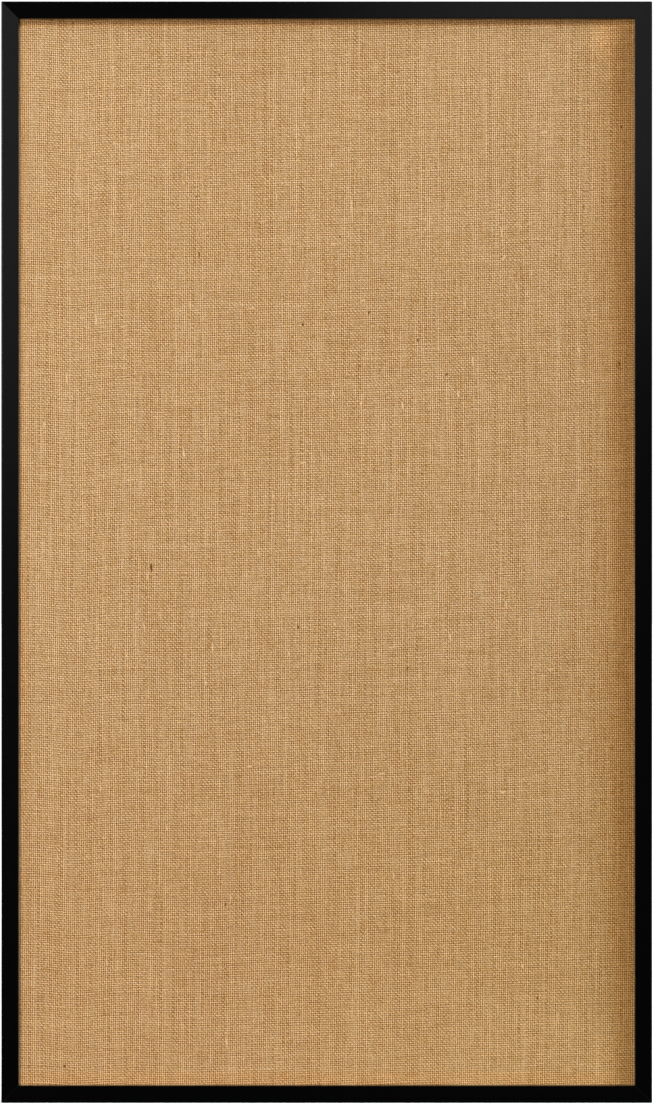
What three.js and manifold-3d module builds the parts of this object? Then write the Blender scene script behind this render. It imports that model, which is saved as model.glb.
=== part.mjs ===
// A framed bulletin board: four black mitred rails round a burlap-covered pinning panel.
// Lengths are millimetres. +X is to the right seen from the front, +Y towards the wall, +Z up.
// The origin is on the wall, midway between the two hangers, level with the hinges of their rings.

import * as THREE from "three";
import { mergeVertices } from "three/addons/utils/BufferGeometryUtils.js";
import Module from "manifold-3d";

const wasm = await Module();
wasm.setup();

// The board as a whole
const boardWidth = 660.4;
const boardHeight = 1117.6;
const hangerDrop = 270; // from the top edge down to the hinges of the rings

// Rail section: a full-depth wall outside, and a lip in front that the panel bears on
const railDepth = 28;
const railFace = 17.5;
const railWall = 12.5;
const lipDepth = 10;
const outerArris = 1.2;
const innerArris = 0.7;
const rearArris = 0.5;
const cornerRadius = 1.3;

// Panel: cork on a fibreboard core, with the burlap wrapped round both and hemmed behind
const panelGap = 1.3; // all round the panel, to the walls of the rabbet
const corkThickness = 5;
const coreThickness = 10;
const clothThickness = 0.8;
const clothBend = 1;
const panelCorner = 2;
const hemWidth = 38;
const foldToe = 3; // where the slanted fold starts, from the corner
const foldHeel = 25; // where it ends, on the inner edge of the hem

// V-nails across the mitres
const nailSheet = 0.6;
const nailLeg = 5;
const nailHeight = 12;
const nailSink = 0.2;
const nailInset = 3;
const nailPitch = 4.5;
const nailsPerMitre = 2;

// Pan-head screws, one kind throughout
const headRadius = 3.1;
const headHeight = 1.7;
const headCrown = 0.5;
const shankRadius = 1.5;
const screwLength = 13;
const screwPoint = 3;
const recessSpan = 3;
const recessSlot = 0.8;
const recessDepth = 0.9;

// Turn buttons
const buttonThickness = 1.5;
const buttonRadius = 5;
const buttonTipRadius = 3.6;
const buttonReach = 16;
const buttonEase = 0.25;
const upperButtonDrop = 190; // from the top edge down to the upper pair, and as far up to the lower pair

// Hangers: a strap folded round the bar of a D-shaped ring
const strapSheet = 0.7;
const strapWidth = 8;
const strapLength = 36;
const strapLap = 1; // how far the under layer shows past the upper one
const strapNeck = 5;
const strapScrewDrop = 18.5;
const strapScrewPitch = 11.5;
const ringWire = 1.8;
const ringBend = 1.1;
const ringLeg = 7;
const ringButt = 0.2; // the two ends of the wire, inside the loop of the strap
const ringSideGap = 0.35;

// Rubber bumpers at the four rear corners
const bumperHeight = 5;
const bumperRadius = 5;
const bumperFoot = 3.7;
const bumperInset = 30; // from the top or bottom edge

// Clearances
const seatGap = 0.1; // between faces that rest or are glued together
const clothGap = 0.3; // between the burlap and the lip
const mitreGap = 0.1;
const runGap = 0.3; // between faces that slide past each other
const pinGap = 0.15; // round a shank or a wire in its hole
const ringLay = 0.15; // between the ring and the strap that it lies over
const overrun = 1; // how far a cutter runs past the surface that it opens

// Faceting
const arrisSteps = 3;
const roundSteps = 24;
const smallSteps = 12;
const wireSides = 8;
const ringSteps = 40;

const quarterTurn = Math.PI / 2;
const halfTurn = Math.PI;
const fullTurn = Math.PI * 2;

const finishes = {
  rail: { color: 0x0c0c0d, roughness: 0.38, metalness: 0 },
  burlap: { color: 0xbe9668, roughness: 0.95, metalness: 0 },
  cork: { color: 0xae7c4c, roughness: 0.9, metalness: 0 },
  fibreboard: { color: 0x96795a, roughness: 0.95, metalness: 0 },
  zinc: { color: 0xb4b7ba, roughness: 0.35, metalness: 1 },
  rubber: { color: 0x1b1b1b, roughness: 0.8, metalness: 0 },
};

// Makes a manifold solid of a closed three.js geometry. Where two points of an outline coincide,
// the triangles between them have no area and are left out.
function toSolid(geometry) {
  const bare = geometry.clone();
  bare.deleteAttribute("normal");
  bare.deleteAttribute("uv");
  const merged = mergeVertices(bare);
  const triangles = [];
  for (let i = 0; i < merged.index.count; i += 3) {
    const corners = [0, 1, 2].map((offset) => merged.index.getX(i + offset));
    if (new Set(corners).size === 3) triangles.push(...corners);
  }
  const mesh = new wasm.Mesh({
    numProp: 3,
    vertProperties: merged.getAttribute("position").array,
    triVerts: new Uint32Array(triangles),
  });
  return new wasm.Manifold(mesh);
}

// Makes a three.js geometry of a manifold solid.
function toGeometry(solid) {
  const mesh = solid.getMesh();
  const geometry = new THREE.BufferGeometry();
  geometry.setAttribute("position", new THREE.BufferAttribute(mesh.vertProperties, 3));
  geometry.setIndex(new THREE.BufferAttribute(mesh.triVerts, 1));
  geometry.computeVertexNormals();
  return geometry;
}

function cutAll(geometry, cutters) {
  const cut = cutters.reduce((solid, cutter) => solid.subtract(toSolid(cutter)), toSolid(geometry));
  return toGeometry(cut);
}

function joinAll(geometries) {
  return toGeometry(geometries.map(toSolid).reduce((solid, next) => solid.add(next)));
}

function addPiece(parent, name, geometry, finish) {
  const piece = new THREE.Mesh(geometry, new THREE.MeshStandardMaterial(finishes[finish]));
  piece.name = name;
  parent.add(piece);
  return piece;
}

// Lays a flat outline down facing the wall: its x stays X, its y becomes -Z, its thickness goes to +Y.
function plate(shape, thickness, segments, ease = 0) {
  const geometry = new THREE.ExtrudeGeometry(shape, {
    depth: thickness - ease * 2,
    bevelEnabled: ease > 0,
    bevelThickness: ease,
    bevelSize: ease,
    bevelOffset: -ease,
    bevelSegments: 1,
    curveSegments: segments,
  });
  return geometry.translate(0, 0, ease).rotateX(-quarterTurn);
}

// A box given by its size, with the middle of its front face at a height y.
function block(width, depth, height, y) {
  return new THREE.BoxGeometry(width, depth, height).translate(0, y + depth / 2, 0);
}

function circlePath(radius, x = 0, y = 0) {
  return new THREE.Path().absarc(x, y, radius, 0, fullTurn, true);
}

// Screws

function screwProfile() {
  const crownRadius = headRadius - headCrown;
  return [
    new THREE.Vector2(0, -screwLength),
    new THREE.Vector2(shankRadius, screwPoint - screwLength),
    new THREE.Vector2(shankRadius, 0),
    new THREE.Vector2(headRadius, 0),
    new THREE.Vector2(headRadius, headHeight - headCrown * 2),
    new THREE.Vector2(crownRadius, headHeight - headCrown / 2),
    new THREE.Vector2(crownRadius / 2, headHeight),
    new THREE.Vector2(0, headHeight),
  ];
}

// Its seat, the underside of the head, is at y = 0.
function screwGeometry() {
  const floor = headHeight - recessDepth;
  const depth = recessDepth + overrun;
  const recess = [
    block(recessSpan, depth, recessSlot, floor),
    block(recessSlot, depth, recessSpan, floor),
  ];
  return cutAll(new THREE.LatheGeometry(screwProfile(), smallSteps), recess);
}

// The hole that a screw needs below a surface at y = 0.
function pilotHole() {
  const depth = screwLength + overrun;
  const radius = shankRadius + pinGap;
  return new THREE.CylinderGeometry(radius, radius, depth + overrun, smallSteps).translate(
    0,
    overrun - (depth + overrun) / 2,
    0,
  );
}

// Frame

// x is the inset from the outer edge, y the depth from the rear face.
function railProfile() {
  const front = -railDepth;
  const lipRear = front + lipDepth;
  const shape = new THREE.Shape();
  shape.moveTo(0, -rearArris);
  shape.lineTo(0, front + outerArris);
  shape.absarc(outerArris, front + outerArris, outerArris, halfTurn, halfTurn + quarterTurn, false);
  shape.lineTo(railFace - innerArris, front);
  shape.absarc(railFace - innerArris, front + innerArris, innerArris, -quarterTurn, 0, false);
  shape.lineTo(railFace, lipRear);
  shape.lineTo(railWall, lipRear);
  shape.lineTo(railWall, 0);
  shape.lineTo(rearArris, 0);
  shape.absarc(rearArris, -rearArris, rearArris, quarterTurn, halfTurn, false);
  return shape;
}

// A length of the section along X with its outer edge up, and both ends drawn in to a mitre.
function mitredLength(length) {
  const geometry = new THREE.ExtrudeGeometry(railProfile(), {
    depth: 1,
    bevelEnabled: false,
    curveSegments: arrisSteps,
  });
  const position = geometry.getAttribute("position");
  for (let i = 0; i < position.count; i += 1) {
    const inset = position.getX(i);
    const end = position.getZ(i) * 2 - 1;
    const reach = length / 2 - inset - mitreGap / Math.SQRT2;
    position.setXYZ(i, end * reach, position.getY(i), -inset);
  }
  return geometry;
}

// A V-nail seen from behind has its apex towards the corner (x = 0, z = 0) of two rails and its
// legs along -X and -Z. Grown on all sides, it is the slot that the nail lies in.
function nailGeometry(inset, grow) {
  const near = -(inset - grow);
  const inner = -(inset + nailSheet + grow);
  const far = -(inset + nailLeg + grow);
  const shape = new THREE.Shape();
  shape.moveTo(near, near);
  shape.lineTo(far, near);
  shape.lineTo(far, inner);
  shape.lineTo(inner, inner);
  shape.lineTo(inner, far);
  shape.lineTo(near, far);
  const geometry = new THREE.ExtrudeGeometry(shape, { depth: nailHeight + grow, bevelEnabled: false });
  return geometry.rotateX(quarterTurn);
}

const nailInsets = Array.from({ length: nailsPerMitre }, (_, i) => nailInset + i * nailPitch);

function nailSlot(inset) {
  const slot = nailGeometry(inset, pinGap);
  const mouth = nailGeometry(inset, pinGap).translate(0, overrun, 0);
  return joinAll([slot.translate(0, -nailSink, 0), mouth]);
}

// Takes the sharp outer corner off the frame, at x = 0, z = 0 of the corner.
function cornerCutter() {
  const shape = new THREE.Shape();
  shape.moveTo(-cornerRadius, 0);
  shape.absarc(-cornerRadius, cornerRadius, cornerRadius, -quarterTurn, 0, false);
  shape.lineTo(overrun, cornerRadius);
  shape.lineTo(overrun, -overrun);
  shape.lineTo(-cornerRadius, -overrun);
  const depth = railDepth + overrun * 2;
  return plate(shape, depth, arrisSteps).translate(0, -railDepth - overrun, 0);
}

function endCutters(length) {
  const cutters = [];
  for (const [x, turn] of [[length / 2, 0], [-length / 2, -quarterTurn]]) {
    const tools = [...nailInsets.map(nailSlot), cornerCutter()];
    cutters.push(...tools.map((tool) => tool.rotateY(turn).translate(x, 0, 0)));
  }
  return cutters;
}

// screwPlaces are distances along the rail from its middle.
function railGeometry(length, screwPlaces) {
  const holes = screwPlaces.map((x) => pilotHole().translate(x, 0, -railWall / 2));
  return cutAll(mitredLength(length), [...endCutters(length), ...holes]);
}

// Heights from here on are from the middle of the board.
const hangerZ = boardHeight / 2 - hangerDrop;
const hangerInset = strapWidth / 2 + ringSideGap + ringBend + ringWire / 2 + seatGap;
const strapScrewZs = [hangerZ - strapScrewDrop, hangerZ - strapScrewDrop - strapScrewPitch];
const buttonZ = boardHeight / 2 - upperButtonDrop;
const buttonLevels = { upper: buttonZ, middle: 0, lower: -buttonZ };

function sideHoles(geometry, side) {
  const holes = strapScrewZs.map((z) => pilotHole().translate(side * -z, 0, -hangerInset));
  return cutAll(geometry, holes);
}

function addFrame(parent) {
  const levels = Object.values(buttonLevels);
  const sideRail = railGeometry(boardHeight, levels);
  const endRail = railGeometry(boardWidth, [0]);
  const rails = [
    ["top", endRail, 0, 0, boardHeight / 2],
    ["right", sideHoles(sideRail, 1), quarterTurn, boardWidth / 2, 0],
    ["bottom", endRail, halfTurn, 0, -boardHeight / 2],
    ["left", sideHoles(sideRail, -1), -quarterTurn, -boardWidth / 2, 0],
  ];
  for (const [place, geometry, turn, x, z] of rails) {
    const rail = addPiece(parent, `frame_rail_${place}`, geometry, "rail");
    rail.rotation.y = turn;
    rail.position.set(x, 0, z);
  }
}

function addNails(parent) {
  const corners = [
    ["top_right", 1, 1, 0],
    ["bottom_right", 1, -1, quarterTurn],
    ["bottom_left", -1, -1, halfTurn],
    ["top_left", -1, 1, -quarterTurn],
  ];
  for (const [place, sideX, sideZ, turn] of corners) {
    nailInsets.forEach((inset, i) => {
      const nail = addPiece(parent, `v_nail_${place}_${i + 1}`, nailGeometry(inset, 0), "zinc");
      nail.rotation.y = turn;
      nail.position.set((sideX * boardWidth) / 2, -nailSink, (sideZ * boardHeight) / 2);
    });
  }
}

// Panel

const panelWidth = boardWidth - (railWall + panelGap) * 2;
const panelHeight = boardHeight - (railWall + panelGap) * 2;
const foldRoot = clothThickness / 2; // how deep the folded corners are joined to the hem
const lining = clothThickness + seatGap;
const coverDepth = lining * 2 + corkThickness + seatGap + coreThickness;
const coverFront = lipDepth - railDepth + clothGap;

function roundedOutline(width, height, radius) {
  const x = width / 2 - radius;
  const y = height / 2 - radius;
  const shape = new THREE.Shape();
  shape.absarc(x, y, radius, 0, quarterTurn, false);
  shape.absarc(-x, y, radius, quarterTurn, halfTurn, false);
  shape.absarc(-x, -y, radius, halfTurn, halfTurn + quarterTurn, false);
  shape.absarc(x, -y, radius, -quarterTurn, 0, false);
  return shape;
}

// The folded corner that stands one cloth higher: the end hem laid over the side hem, with a slanted edge.
// Its corner is at x = 0, z = 0, and the board lies towards +X and -Z.
function foldedCorner() {
  const shape = new THREE.Shape();
  shape.moveTo(foldToe, clothBend);
  shape.lineTo(hemWidth, clothBend);
  shape.lineTo(hemWidth, hemWidth);
  shape.lineTo(foldHeel, hemWidth);
  return plate(shape, clothThickness + foldRoot, 1);
}

function coverGeometry() {
  const outer = plate(
    roundedOutline(panelWidth, panelHeight, panelCorner),
    coverDepth,
    arrisSteps,
    clothBend,
  ).translate(0, coverFront, 0);
  const hollow = block(
    panelWidth - clothThickness * 2,
    coverDepth - clothThickness * 2,
    panelHeight - clothThickness * 2,
    coverFront + clothThickness,
  );
  const windowCut = block(
    panelWidth - hemWidth * 2,
    clothThickness + overrun,
    panelHeight - hemWidth * 2,
    coverFront + coverDepth - clothThickness - seatGap,
  );
  const shell = cutAll(outer, [hollow, windowCut]);
  const foldY = coverFront + coverDepth - foldRoot;
  const leftFold = foldedCorner().translate(-panelWidth / 2, foldY, panelHeight / 2);
  const lowerLeft = toSolid(leftFold).mirror([0, 0, 1]);
  const folds = [toSolid(leftFold), lowerLeft];
  const rightFolds = folds.map((fold) => fold.mirror([1, 0, 0]));
  return toGeometry([...folds, ...rightFolds].reduce((solid, fold) => solid.add(fold), toSolid(shell)));
}

function addPanel(parent) {
  const width = panelWidth - lining * 2;
  const height = panelHeight - lining * 2;
  const corkFront = coverFront + lining;
  const coreFront = corkFront + corkThickness + seatGap;
  addPiece(parent, "burlap_cover", coverGeometry(), "burlap");
  addPiece(parent, "cork_sheet", block(width, corkThickness, height, corkFront), "cork");
  addPiece(parent, "fibreboard_core", block(width, coreThickness, height, coreFront), "fibreboard");
}

// Turn buttons

// The pivot is at the origin and the tongue points along +X.
function buttonGeometry() {
  const tangent = Math.acos((buttonRadius - buttonTipRadius) / buttonReach);
  const shape = new THREE.Shape();
  shape.absarc(0, 0, buttonRadius, tangent, fullTurn - tangent, false);
  shape.absarc(buttonReach, 0, buttonTipRadius, -tangent, tangent, false);
  shape.holes.push(circlePath(shankRadius + pinGap));
  return plate(shape, buttonThickness, smallSteps / 2, buttonEase);
}

function addTurnButton(parent, place, x, z, turn) {
  const group = new THREE.Group();
  group.position.set(x, 0, z);
  group.rotation.y = turn;
  parent.add(group);
  const button = addPiece(group, `turn_button_${place}`, buttonGeometry(), "zinc");
  button.position.y = runGap;
  const screw = addPiece(group, `turn_button_screw_${place}`, screwGeometry(), "zinc");
  screw.position.y = runGap + buttonThickness + runGap;
}

function addTurnButtons(parent) {
  const x = boardWidth / 2 - railWall / 2;
  const z = boardHeight / 2 - railWall / 2;
  for (const [level, height] of Object.entries(buttonLevels)) {
    addTurnButton(parent, `left_${level}`, -x, height, 0);
    addTurnButton(parent, `right_${level}`, x, height, halfTurn);
  }
  addTurnButton(parent, "top", 0, z, quarterTurn);
  addTurnButton(parent, "bottom", 0, -z, -quarterTurn);
}

// Hangers

const wireRadius = ringWire / 2;
const eyeRadius = wireRadius + pinGap;
const loopRadius = eyeRadius + strapSheet;
const hingeOut = seatGap + strapSheet * 2 + ringLay + wireRadius;

// The folded end from the side: x runs down the strap from the hinge, y out from the rail.
function strapLoop() {
  const low = hingeOut - loopRadius;
  const high = hingeOut + loopRadius;
  const top = seatGap + strapSheet * 2;
  const middle = strapNeck / 2;
  const shape = new THREE.Shape();
  shape.moveTo(strapNeck + overrun, top);
  shape.lineTo(strapNeck, top);
  shape.bezierCurveTo(middle, top, middle, high, 0, high);
  shape.absarc(0, hingeOut, loopRadius, quarterTurn, -quarterTurn, false);
  shape.bezierCurveTo(middle, low, middle, seatGap, strapNeck, seatGap);
  shape.lineTo(strapNeck + overrun, seatGap);
  shape.holes.push(circlePath(eyeRadius, 0, hingeOut));
  const geometry = new THREE.ExtrudeGeometry(shape, {
    depth: strapWidth,
    bevelEnabled: false,
    curveSegments: roundSteps / 2,
  });
  return geometry.translate(0, 0, -strapWidth / 2).rotateY(quarterTurn);
}

// One layer of the strap below its neck, with a round end. x runs down the strap before it is turned.
function strapLayer(length, y) {
  const half = strapWidth / 2;
  const shape = new THREE.Shape();
  shape.moveTo(strapNeck, -half);
  shape.lineTo(length - half, -half);
  shape.absarc(length - half, 0, half, -quarterTurn, quarterTurn, false);
  shape.lineTo(strapNeck, half);
  for (const drop of [strapScrewDrop, strapScrewDrop + strapScrewPitch]) {
    shape.holes.push(circlePath(shankRadius + pinGap, drop));
  }
  return plate(shape, strapSheet, smallSteps / 2).rotateY(quarterTurn).translate(0, y, 0);
}

function strapGeometry() {
  const under = strapLayer(strapLength, seatGap);
  const upper = strapLayer(strapLength - strapLap, seatGap + strapSheet);
  return joinAll([strapLoop(), under, upper]);
}

// A path in the plane of X and Z as a curve in space.
class FlatCurve extends THREE.Curve {
  constructor(path) {
    super();
    this.path = path;
  }

  getPoint(t, target = new THREE.Vector3()) {
    const point = this.path.getPoint(t);
    return target.set(point.x, 0, point.y);
  }
}

// The hinge is the X axis, and the bow hangs down along -Z.
function ringGeometry() {
  const bar = strapWidth / 2 + ringSideGap;
  const half = bar + ringBend;
  const path = new THREE.Path();
  path.moveTo(ringButt / 2, 0);
  path.lineTo(bar, 0);
  path.absarc(bar, -ringBend, ringBend, quarterTurn, 0, true);
  path.lineTo(half, -ringLeg);
  path.absarc(0, -ringLeg, half, 0, -halfTurn, true);
  path.lineTo(-half, -ringBend);
  path.absarc(-bar, -ringBend, ringBend, halfTurn, quarterTurn, true);
  path.lineTo(-ringButt / 2, 0);
  const section = new THREE.Shape().absarc(0, 0, wireRadius, 0, fullTurn, false);
  return new THREE.ExtrudeGeometry(section, {
    steps: ringSteps,
    curveSegments: wireSides / 2,
    extrudePath: new FlatCurve(path),
  });
}

function addHanger(parent, place, side) {
  const group = new THREE.Group();
  group.position.set(side * (boardWidth / 2 - hangerInset), 0, hangerZ);
  parent.add(group);
  addPiece(group, `hanger_strap_${place}`, strapGeometry(), "zinc");
  const ring = addPiece(group, `hanger_ring_${place}`, ringGeometry(), "zinc");
  ring.position.y = hingeOut;
  strapScrewZs.forEach((z, i) => {
    const screw = addPiece(group, `hanger_screw_${place}_${i + 1}`, screwGeometry(), "zinc");
    screw.position.set(0, seatGap * 2 + strapSheet * 2, z - hangerZ);
  });
}

// Bumpers

function bumperGeometry() {
  const round = bumperRadius - bumperFoot;
  const profile = [
    new THREE.Vector2(0, seatGap),
    new THREE.Vector2(bumperRadius, seatGap),
    new THREE.Vector2(bumperRadius, bumperHeight - round),
  ];
  for (let i = 1; i <= arrisSteps; i += 1) {
    const angle = (quarterTurn * i) / arrisSteps;
    const radius = bumperFoot + round * Math.cos(angle);
    profile.push(new THREE.Vector2(radius, bumperHeight - round + round * Math.sin(angle)));
  }
  profile.push(new THREE.Vector2(0, bumperHeight));
  return new THREE.LatheGeometry(profile, roundSteps);
}

function addBumpers(parent) {
  const x = boardWidth / 2 - railWall / 2;
  const z = boardHeight / 2 - bumperInset;
  const places = { top_left: [-x, z], top_right: [x, z], bottom_left: [-x, -z], bottom_right: [x, -z] };
  for (const [place, [placeX, placeZ]] of Object.entries(places)) {
    const bumper = addPiece(parent, `wall_bumper_${place}`, bumperGeometry(), "rubber");
    bumper.position.set(placeX, 0, placeZ);
  }
}

// Everything is placed from the middle of the rails' rear face, which the bumpers keep off the wall.
function makeBoard() {
  const board = new THREE.Group();
  const pieces = new THREE.Group();
  pieces.position.set(0, -bumperHeight, -hangerZ);
  board.add(pieces);
  addFrame(pieces);
  addNails(pieces);
  addPanel(pieces);
  addTurnButtons(pieces);
  addHanger(pieces, "left", -1);
  addHanger(pieces, "right", 1);
  addBumpers(pieces);
  return board;
}

export default makeBoard();
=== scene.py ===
"""A framed burlap bulletin board, dressed for a studio picture: its cloth, finishes, light and camera.

Lengths are metres. +X is to the right seen from the front, +Y towards the wall, and +Z up.
"""

import math
import random
from collections import namedtuple

import bpy
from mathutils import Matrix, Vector, noise


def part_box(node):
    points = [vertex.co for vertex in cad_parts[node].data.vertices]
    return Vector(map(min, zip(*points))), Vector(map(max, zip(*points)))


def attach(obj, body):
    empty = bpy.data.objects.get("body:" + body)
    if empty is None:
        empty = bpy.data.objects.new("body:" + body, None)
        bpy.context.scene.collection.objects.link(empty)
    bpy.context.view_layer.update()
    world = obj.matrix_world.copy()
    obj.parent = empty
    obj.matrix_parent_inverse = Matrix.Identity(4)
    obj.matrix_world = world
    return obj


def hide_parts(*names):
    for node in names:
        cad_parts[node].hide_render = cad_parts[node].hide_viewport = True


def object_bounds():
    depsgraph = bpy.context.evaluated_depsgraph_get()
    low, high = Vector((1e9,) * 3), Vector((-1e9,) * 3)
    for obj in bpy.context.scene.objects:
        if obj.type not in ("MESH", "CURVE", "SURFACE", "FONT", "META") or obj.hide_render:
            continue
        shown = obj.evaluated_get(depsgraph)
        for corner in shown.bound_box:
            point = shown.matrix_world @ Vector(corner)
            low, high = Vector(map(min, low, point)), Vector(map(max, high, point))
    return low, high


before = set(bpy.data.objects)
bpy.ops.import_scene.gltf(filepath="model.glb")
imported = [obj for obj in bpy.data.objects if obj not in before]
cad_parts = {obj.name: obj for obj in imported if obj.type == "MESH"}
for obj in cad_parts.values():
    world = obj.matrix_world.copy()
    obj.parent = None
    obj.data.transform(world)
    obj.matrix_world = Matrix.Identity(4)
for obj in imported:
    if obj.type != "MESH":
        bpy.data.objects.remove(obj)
cad_low, cad_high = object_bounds()

MM = 0.001
BOARD = "board"
CORNERS = ("top_left", "top_right", "bottom_left", "bottom_right")
BUTTON_PLACES = (
    "left_upper", "left_middle", "left_lower",
    "right_upper", "right_middle", "right_lower",
    "top", "bottom",
)

# The photograph, in its own pixels
FRAME_WIDTH_PX = 653
FRAME_HEIGHT_PX = 1104
BOARD_LEFT_PX = 1.15
BOARD_RIGHT_PX = 652.34
BOARD_TOP_PX = 1.4
BOARD_BOTTOM_PX = 1102.95
ACROSS_PER_PX = (cad_high.x - cad_low.x) / (BOARD_RIGHT_PX - BOARD_LEFT_PX)
UP_PER_PX = (cad_high.z - cad_low.z) / (BOARD_BOTTOM_PX - BOARD_TOP_PX)

# Camera
CAMERA_DISTANCE = 4.5
SENSOR_MM = 36.0

# Cloth
CLOTH_THICKNESS = 0.8 * MM
CLOTH_BEND = 1.0 * MM
HEM_WIDTH = 38 * MM
CELL = 4 * MM  # of the sheet's mesh
BEND_STEPS = 4
HEM_STEPS = 9
CORNER_PULL = 0.6 * MM  # how far the cloth is drawn in at the panel's corners
SLACK_START = 8 * MM  # how far from the panel's edge the cloth starts to stand off the cork
SLACK_FADE = 22 * MM
SLACK_BROAD = 0.30 * MM
SLACK_FINE = 0.10 * MM
SLACK_MIDDLE = 0.6
RIPPLE_START = 12 * MM  # how far from the panel's edge the hem starts to lift between its staples
RIPPLE_FADE = 20 * MM
RIPPLE_LIFT = 0.45 * MM
BROAD_SCALE = (9, 5)  # noise scales, per metre across and up
FINE_SCALE = (48, 30)
RIPPLE_SCALE = (26, 26)
BROAD_SEED = 2.3
FINE_SEED = 7.1
RIPPLE_SEED = 5.0

# Yarns, with widths and heights as shares of a yarn's pitch, and noise scales per metre
WARP_PITCH = 2.119 * MM
WEFT_PITCH = 2.239 * MM
YARN_WIDTH_SHARE = 0.80
YARN_SWELL = 0.7
YARN_JITTER = 0.5
JITTER_ACROSS = 170
JITTER_ALONG = 14
SWAY_ACROSS = 0.8
SWELL_ALONG = 26
TONE_STEP = 7.31  # in the noise, from one yarn to the next
SWELL_STEP = 5.13
JITTER_SEED = 5  # added to a set's own seed, as are the next two
TONE_SEED = 11
SWELL_SEED = 23
CRIMP = 0.62  # how far a yarn rises and dips
TWIST = 0.35  # how far its crowns lean
WARP_FALL = 1.25  # from a yarn's middle to its sides
WEFT_FALL = 0.62
GAP_DEPTH = -0.45
YARN_HEIGHT = 0.28 * MM
BUMP_STRENGTH = 0.05
CLIMB = 0.030  # of the weft towards the right
CLIMB_START = 0.128
CLIMB_SOFTNESS = 0.06
PULLS = (  # of the weft: place, reach and depth
    (-0.2564, 0.0264, -2.35 * MM),
    (-0.1915, 0.0142, 0.67 * MM),
)

# Tone of the cloth, where 0 is its darkest and 1 its palest
MIDDLE_TONE = 0.492
WARP_TONE = 1.28
WEFT_TONE = 0.5
# Painted shade: how far the tone falls on the yarns' sides and in the gaps between them, and how much that
# depth differs from gap to gap
WEAVE_SHADE_TONE = 0.58
HOLE_SPREAD = 0.6
HOLE_SEED = 9.0
FIBRE_SCALE = 2.4
FIBRE_TONE = 0.82
FIBRE_SEED = 3.0

# Painted light, as paler parts of the cloth: where one starts, where it is full, and how much it adds, or
# a share of 1
PALE_SIDE = (-0.10, -0.30, 0.03)
PALE_HEAD = (-0.05, 0.22, 0.014)
PALE_FOOT = (-0.70, -0.83, 0.05)
PALE_LOW = (-0.48, -0.70, 0.02)
HEAD_CORNER = (-0.18, -0.30)
RIGHTWARDS = (-0.32, 0.28)
FOOT_AT_LEFT = 0.45
FOOT_RIGHTWARDS = 1.1

# Warmer parts of the cloth, along the frame and towards the foot, given in the same way; along the frame
# this is painted shade, the warm hue of the cloth in the frame's shadow
WARM_RIGHT = (0.20, 0.30)
WARM_RIGHT_POWER = 4.0
WARM_LEFT = (-0.3035, -0.3065, 0.6)
WARM_TOP = (0.243, 0.249, 0.7)
WARM_FOOT = (-0.42, -0.80, 0.45)
WARM_RIM = (-0.816, -0.819, 0.5)
WARM_TINT = (1.06, 0.945, 0.79, 1.0)
YELLOW_RIGHTWARDS = (-0.10, 0.30)
YELLOW_DOWNWARDS = (-0.30, -0.80)
YELLOW_AT_HEAD = 0.15
YELLOW_GAIN = 0.6
YELLOW_TINT = (1.0, 1.0, 0.84, 1.0)

# Painted light, as lighter bands beside the frame where its shadow falls: the middle and the reach of
# each, and how much lighter it is
BAND_RIGHT = (0.2965, 0.007)
BAND_RIGHT_LIFT = 0.17
BAND_TOP = (0.2468, 0.0024)
BAND_TOP_LIFT = 0.27
BAND_CORNERS = (0.281, 0.013)
BAND_UPPER_LIFT = (0.205, 0.225, 0.24)
BAND_LOWER_LIFT = (-0.77, -0.79, 0.14)

# Folded corners
FOLD_TOE = 3 * MM  # where a corner's slanted fold starts, from the corner
FOLD_HEEL = 25 * MM  # where it ends, on the hem's inner edge
FOLD_END = 45 * MM  # where the folded cloth lies down again
FOLD_LIFT = 0.72 * MM
FOLD_ROUND = 0.5 * MM
FOLD_SETTLE = 2 * MM  # how far before the side hem's cut edge the fold starts to come down
FOLD_SINK = 0.02 * MM
FOLD_START = CLOTH_BEND * 1.2
FOLD_THICKNESS = CLOTH_THICKNESS * 0.8
FOLD_COLUMNS = 14
FOLD_ROWS = 12

# Yarn ends that hang out of the hem
FRAY_BARE_SHARE = 0.3  # of the yarns, which show no end
FRAY_SHORT_SHARE = 0.85  # of the ends
FRAY_SHORT = (0.8, 3.0)  # in millimetres
FRAY_LONG = (3, 8)  # in millimetres
FRAY_LEAN = 0.5
FRAY_ROOT = 0.8 * MM
FRAY_START = 0.4 * MM
FRAY_SINK = 0.2  # in millimetres
FRAY_RADIUS = (0.26, 0.40)  # in millimetres
FRAY_PLACES = (0.0, 0.4, 0.75, 1.0)  # along an end, as shares of its reach
FRAY_TAPER = (1.0, 1.0, 0.8, 0.35)  # at those places
FRAY_SIDES = 4

# Staples
STAPLE_WIDTH = 10 * MM
STAPLE_WIRE = 1.1 * MM
STAPLE_THICKNESS = 0.5 * MM
STAPLE_LEG = 5 * MM
STAPLE_BEND = 0.6 * MM
STAPLE_EASE = STAPLE_BEND * 0.3
STAPLE_PITCH = 62 * MM
STAPLE_INSET = 11 * MM
STAPLE_STRAY = 5  # along the hem, in millimetres
STAPLE_DRIFT = 2  # across it, in millimetres
STAPLE_TILT = 0.25
STAPLE_PROUD = STAPLE_THICKNESS * 0.7
CORNER_STAPLE_IN = 21 * MM
CORNER_STAPLE_UP = 22 * MM
CORNER_STAPLE_LEAN = (0.8, 0.6)
CORNER_STAPLE_PROUD = FOLD_LIFT * 0.9

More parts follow.
